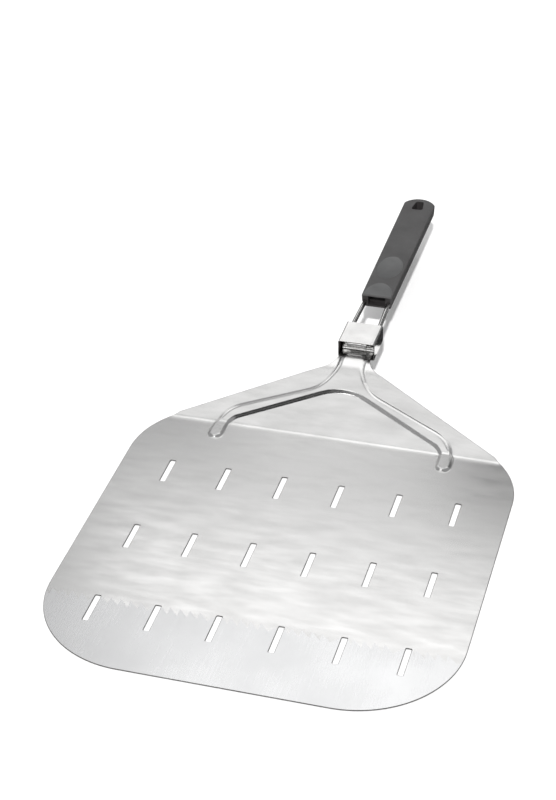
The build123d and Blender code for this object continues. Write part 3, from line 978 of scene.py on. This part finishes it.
class Shader:
    """A material's node tree, with short ways to add the usual nodes."""

    def __init__(self, name):
        self.material = bpy.data.materials.new(name)
        self.material.use_nodes = True
        self.tree = self.material.node_tree
        self.place = self.tree.nodes.new("ShaderNodeTexCoord").outputs["Object"]

    def link(self, links, node):
        """Links sources to the node's inputs."""
        for socket, source in links.items():
            self.tree.links.new(source, node.inputs[socket])

    def node(self, kind, output, values, links):
        """The output of a new node with these values and links at its inputs."""
        node = self.tree.nodes.new(kind)
        for socket, value in values.items():
            node.inputs[socket].default_value = value
        self.link(links, node)
        return node.outputs[output]

    def noise(self, scale, detail, roughness, stretch=(1, 1, 1), shift=(0, 0, 0)):
        """Noise whose scale is in bumps per metre, stretched along an axis by a small factor."""
        places = {"Scale": stretch, "Location": shift}
        mapped = self.node("ShaderNodeMapping", "Vector", places, {"Vector": self.place})
        values = {"Scale": scale, "Detail": detail, "Roughness": roughness}
        return self.node("ShaderNodeTexNoise", "Fac", values, {"Vector": mapped})

    def spread(self, source, low, high):
        """The source's middle values spread between two numbers."""
        values = {"From Min": NOISE_LOW, "From Max": NOISE_HIGH, "To Min": low, "To Max": high}
        return self.node("ShaderNodeMapRange", "Result", values, {"Value": source})

    def sums(self, first, second):
        """The sum of two sources."""
        return self.node("ShaderNodeMath", "Value", {}, {0: first, 1: second})

    def colours(self, source, low, high):
        """A colour between two, by the source's middle values."""
        ramp = self.tree.nodes.new("ShaderNodeValToRGB")
        for element, place, colour in zip(ramp.color_ramp.elements, (NOISE_LOW, NOISE_HIGH), (low, high)):
            element.position = place
            element.color = (*colour, 1)
        self.link({"Fac": source}, ramp)
        return ramp.outputs["Color"]

    def bump(self, height, depth, strength=1.0, under=None):
        """Normals of a relief this deep, on top of another one."""
        links = {"Height": height} if under is None else {"Height": height, "Normal": under}
        return self.node("ShaderNodeBump", "Normal", {"Strength": strength, "Distance": depth}, links)

    def finish(self, colour, roughness, normal, metallic=0.0):
        """Links these to the surface, and gives the material."""
        surface = self.tree.nodes["Principled BSDF"]
        self.link({"Base Color": colour, "Roughness": roughness, "Normal": normal}, surface)
        surface.inputs["Metallic"].default_value = metallic
        return self.material


def blade_steel():
    """Satin stainless sheet: fine lengthwise grain, faint smudges and a few light scratches."""
    shader = Shader("satin_stainless")
    grain = shader.noise(1400, 4, 0.6, (1, 0.012, 0.012))
    smudge = shader.noise(9, 4, 0.6)
    scratch = shader.noise(260, 2, 0.5, (1, 0.05, 0.05), (0.3, 0.1, 0))
    colour = shader.colours(smudge, (0.618, 0.620, 0.622), (0.688, 0.690, 0.692))
    roughness = shader.sums(shader.spread(smudge, 0.30, 0.25), shader.spread(grain, -0.015, 0.02))
    normal = shader.bump(grain, 0.0000012)
    normal = shader.bump(scratch, 0.0000015, 0.5, normal)
    return shader.finish(colour, roughness, normal, 1.0)


def worn(name, broad, fine, colours, broad_gloss, fine_gloss, relief, metallic=0.0):
    """A material with two noises: both are in its roughness, one in its colour and one in its relief."""
    shader = Shader(name)
    broad, fine = shader.noise(*broad), shader.noise(*fine)
    roughness = shader.sums(shader.spread(broad, *broad_gloss), shader.spread(fine, *fine_gloss))
    return shader.finish(shader.colours(broad, *colours), roughness, shader.bump(fine, *relief), metallic)


def metal(name, broad, fine, colours, broad_gloss, fine_gloss, depth):
    """The same for bare metal, with a relief this deep."""
    return worn(name, broad, fine, colours, broad_gloss, fine_gloss, (depth, 1.0), 1.0)


def sheared_edge():
    """Rim of the sheet and of its slots: left dull by the press tool, and coloured much darker than the
    sheet, which draws a dark line along its edges.
    """
    patches, tear = (70, 3, 0.5), (1800, 3, 0.6)
    colours = (0.12, 0.118, 0.116), (0.19, 0.187, 0.184)
    return metal("sheared_edge_stainless", patches, tear, colours, (0.42, 0.34), (-0.03, 0.04), 0.000004)


def rolled_steel():
    """Burnished smooth by the rolling tool: meant for the tongue, but see the fault in make_blade."""
    streak = (90, 3, 0.5, (0.3, 1, 1))
    colours = (0.60, 0.597, 0.590), (0.69, 0.687, 0.680)
    return metal("rolled_stainless", streak, streak, colours, (0.27, 0.21), (0, 0), 0.000002)


def sleeve_steel():
    """Polished stainless with hairline marks from sliding."""
    cloud, hairline = (55, 3, 0.5), (2200, 3, 0.6, (1, 0.02, 1))
    colours = (0.70, 0.695, 0.685), (0.76, 0.755, 0.745)
    return metal("polished_stainless", cloud, hairline, colours, (0.19, 0.14), (-0.02, 0.03), 0.000002)


def wire_steel():
    """Drawn wire: bright, with lines along it from the die."""
    cloud, drawn = (60, 3, 0.5), (3000, 3, 0.6, (1, 0.01, 1))
    colours = (0.68, 0.675, 0.665), (0.76, 0.755, 0.745)
    return metal("drawn_wire", cloud, drawn, colours, (0.17, 0.12), (-0.02, 0.04), 0.000003)


def mill_steel_painted_shade():
    """Unpolished inside of the sleeve, duller than the outside and coloured far darker as painted shade
    inside the tube.
    """
    stains, streaks = (120, 4, 0.6), (900, 3, 0.6, (1, 0.05, 1))
    colours = (0.22, 0.20, 0.18), (0.34, 0.32, 0.30)
    return metal("mill_finish_stainless_painted_shade", stains, streaks, colours, (0.5, 0.4), (-0.04, 0.04), 0.000006)


def screw_steel():
    """Zinc-plated screws with turning marks and a few dull patches."""
    patches, marks = (420, 3, 0.6), (3800, 3, 0.6)
    colours = (0.50, 0.50, 0.51), (0.68, 0.67, 0.65)
    return metal("zinc_plate", patches, marks, colours, (0.38, 0.26), (-0.03, 0.04), 0.000005)


def grip_plastic():
    """Charcoal moulded plastic with a fine matt texture, worn a little smoother in places."""
    shader = Shader("charcoal_plastic")
    texture = shader.noise(5200, 2, 0.6)
    waviness = shader.noise(120, 2, 0.5)
    wear = shader.noise(38, 4, 0.6)
    colour = shader.colours(wear, (0.048, 0.047, 0.047), (0.062, 0.061, 0.061))
    roughness = shader.sums(shader.spread(wear, 0.54, 0.46), shader.spread(texture, -0.04, 0.04))
    normal = shader.bump(waviness, 0.00005, 0.3)
    normal = shader.bump(texture, 0.00003, 0.5, normal)
    return shader.finish(colour, roughness, normal)


def pad_plastic_painted_light():
    """The thumb rest and the scoop: a smoother, slightly glossier finish, coloured lighter than the
    charcoal as painted light for the light their dished faces catch.
    """
    wear, flow = (60, 3, 0.6), (260, 3, 0.5)
    colours = (0.062, 0.063, 0.063), (0.076, 0.077, 0.077)
    return worn("smooth_charcoal_plastic_painted_light", wear, flow, colours, (0.44, 0.36), (0, 0), (0.00002, 0.3))


def inside_and_shade_plastic():
    """The grip's inside faces, and painted shade on its front face and in the hanging hole: the same
    moulding, coloured darker and left duller.
    """
    flow, texture = (300, 3, 0.5), (4200, 2, 0.6)
    colours = (0.020, 0.018, 0.018), (0.028, 0.026, 0.026)
    return worn("inside_and_painted_shade_plastic", flow, texture, colours, (0, 0), (0.62, 0.74), (0.00002, 0.4))


def guide_plastic():
    """Black nylon with a slight flow texture."""
    flow, texture = (160, 3, 0.5, (1, 0.3, 1)), (2600, 3, 0.6)
    colours = (0.014, 0.014, 0.015), (0.024, 0.024, 0.025)
    return worn("black_nylon", flow, texture, colours, (0, 0), (0.40, 0.52), (0.00002, 0.4))


def paper():
    """The floor: plain pale backdrop paper."""
    cloud, fibre = (1.4, 2, 0.5), (900, 3, 0.6)
    colours = (0.845, 0.843, 0.840), (0.860, 0.858, 0.855)
    return worn("backdrop_paper", cloud, fibre, colours, (0.82, 0.90), (0, 0), (0.00002, 0.2))


def black_cloth():
    """Studio flags."""
    weave = (700, 2, 0.5)
    colours = (0.004, 0.004, 0.004), (0.008, 0.008, 0.008)
    return worn("flag_cloth", weave, weave, colours, (0.9, 1.0), (0, 0), (0.0002, 0.2))


# ---- carried-over pieces

WELD_WITHIN = 0.000002
BEVEL_FROM = radians(35)


def finish_node(name, material, bevel):
    """Gives a CAD piece its material and softens its edges."""
    piece = bpy.data.objects[name]
    piece.data.materials.clear()
    piece.data.materials.append(material)
    weld = piece.modifiers.new("weld", "WELD")
    weld.merge_threshold = WELD_WITHIN
    edges = piece.modifiers.new("soft edges", "BEVEL")
    edges.width = bevel
    edges.segments = 3
    edges.limit_method = "ANGLE"
    edges.angle_limit = BEVEL_FROM
    weighted = piece.modifiers.new("flat faces stay flat", "WEIGHTED_NORMAL")
    weighted.keep_sharp = True


# ---- studio

def make_panel(name, width, height, centre, towards, material):
    """A flat panel facing a point."""
    mesh = bpy.data.meshes.new(name)
    a, b = width / 2, height / 2
    mesh.from_pydata([(-a, -b, 0), (a, -b, 0), (a, b, 0), (-a, b, 0)], [], [(0, 1, 2, 3)])
    mesh.materials.append(material)
    return placed(name, mesh, centre, towards)


def make_flag(name, width, height, centre, towards):
    """A dark panel that only shows in reflections."""
    flag = make_panel(name, width, height, centre, towards, black_cloth())
    flag.visible_camera = flag.visible_shadow = flag.visible_diffuse = False
    return flag


def make_softbox(name, width, height, centre, towards, radiance):
    """A rectangular light of this brightness."""
    light = bpy.data.lights.new(name, "AREA")
    light.shape = "RECTANGLE"
    light.size = width
    light.size_y = height
    light.energy = radiance * pi * width * height
    softbox = placed(name, light, centre, towards, "-Z")
    softbox.visible_camera = False


def make_key():
    """The hard-edged key light, high in front and slightly to the right."""
    light = bpy.data.lights.new("key", "SUN")
    light.energy = KEY_STRENGTH
    light.angle = KEY_ANGLE
    key = placed("key", light, (0, 0, 0), KEY_DIRECTION, "-Z")
    key.visible_camera = key.visible_glossy = False


def make_world():
    """Even grey surroundings."""
    world = bpy.data.worlds.new("surroundings")
    bpy.context.scene.world = world
    world.use_nodes = True
    background = world.node_tree.nodes["Background"]
    background.inputs["Color"].default_value = SURROUNDINGS
    background.inputs["Strength"].default_value = 1.0


def make_camera():
    """Camera in front and to the right, looking down along the peel."""
    low, high = cad_bounds
    middle = (Vector(low) + Vector(high)) / 2
    target = Vector((middle.x + CAMERA_AIM[0], middle.y + CAMERA_AIM[1], 0))
    level_ahead = Vector((sin(CAMERA_AZIMUTH), cos(CAMERA_AZIMUTH), 0))
    ahead = level_ahead * cos(CAMERA_ELEVATION) - Vector((0, 0, sin(CAMERA_ELEVATION)))
    level = Vector((cos(CAMERA_AZIMUTH), -sin(CAMERA_AZIMUTH), 0))
    above = level.cross(ahead)
    right = cos(CAMERA_ROLL) * level + sin(CAMERA_ROLL) * above
    up = cos(CAMERA_ROLL) * above - sin(CAMERA_ROLL) * level
    data = bpy.data.cameras.new("camera")
    data.sensor_width = 36
    data.lens = CAMERA_LENS
    data.clip_start = 0.05
    camera = placed("camera", data)
    turn = Matrix((right, up, -ahead)).transposed().to_4x4()
    camera.matrix_world = Matrix.Translation(target - ahead * CAMERA_DISTANCE) @ turn
    bpy.context.scene.camera = camera


def make_studio():
    """Floor, key light, softboxes for the steel to reflect, and flags for its dark reflections."""
    floor = make_panel("floor", FLOOR_SIZE, FLOOR_SIZE, (0, 0, -FLOOR_DROP), (0, 0, 1), paper())
    make_key()
    make_world()
    make_softbox("back_softbox", 1.9, 1.15, (0.09, 1.2, 1.80), (0.09, 0, 1.2), 1.24)
    make_softbox("top_softbox", 1.4, 1.4, (-0.44, -0.1, 1.8), (-0.44, -0.1, 0), 0.74)
    make_softbox("low_card", 0.36, 0.24, (-0.28, 1.2, 0.72), (0, 0.07, 0.04), 0.92)
    make_softbox("front_card", 0.24, 0.48, (-0.276, -0.79, 0.75), (0, 0.07, 0.04), 3.6)
    make_softbox("left_card", 0.5, 0.6, (-1.22, 1.0, 1.0), (-0.1, 0, 0.03), 1.1)
    flags = [
        make_flag("front_flag", 2.6, 2.2, (0.3, -2.5, 1.3), (0, 0, 0)),
        make_flag("corner_flag", 0.5, 0.3, (0.15, 1.15, 0.85), (0.1, 0, 0)),
        make_flag("back_low_flag", 3.0, 0.55, (-0.2, 1.35, 0.28), (-0.2, 0, 0.28)),
        # Painted reflection: these two lie flat on the floor and show only in reflections, standing in for
        # shaded floor seen in the tang's edges and the sleeve's side.
        make_flag("edge_flag", 0.38, 0.17, (0.21, 0.04, 0.0008), (0.21, 0.04, 1)),
        make_flag("floor_flag", 0.30, 0.31, (0.17, 0.295, 0.0008), (0.17, 0.295, 1)),
    ]


# ---- the whole scene

make_blade(blade_steel(), sheared_edge(), rolled_steel())
make_wire(wire_steel())
make_sleeve(sleeve_steel(), mill_steel_painted_shade())
charcoal = grip_plastic()
inside_and_shade = inside_and_shade_plastic()
make_upper_shell(charcoal, pad_plastic_painted_light(), inside_and_shade)
make_lower_shell(charcoal, inside_and_shade)
finish_node("sleeve_guide", guide_plastic(), 0.0002)
finish_node("grip_screws", screw_steel(), 0.0001)
make_studio()
make_camera()
bpy.context.scene.view_settings.view_transform = "Standard"
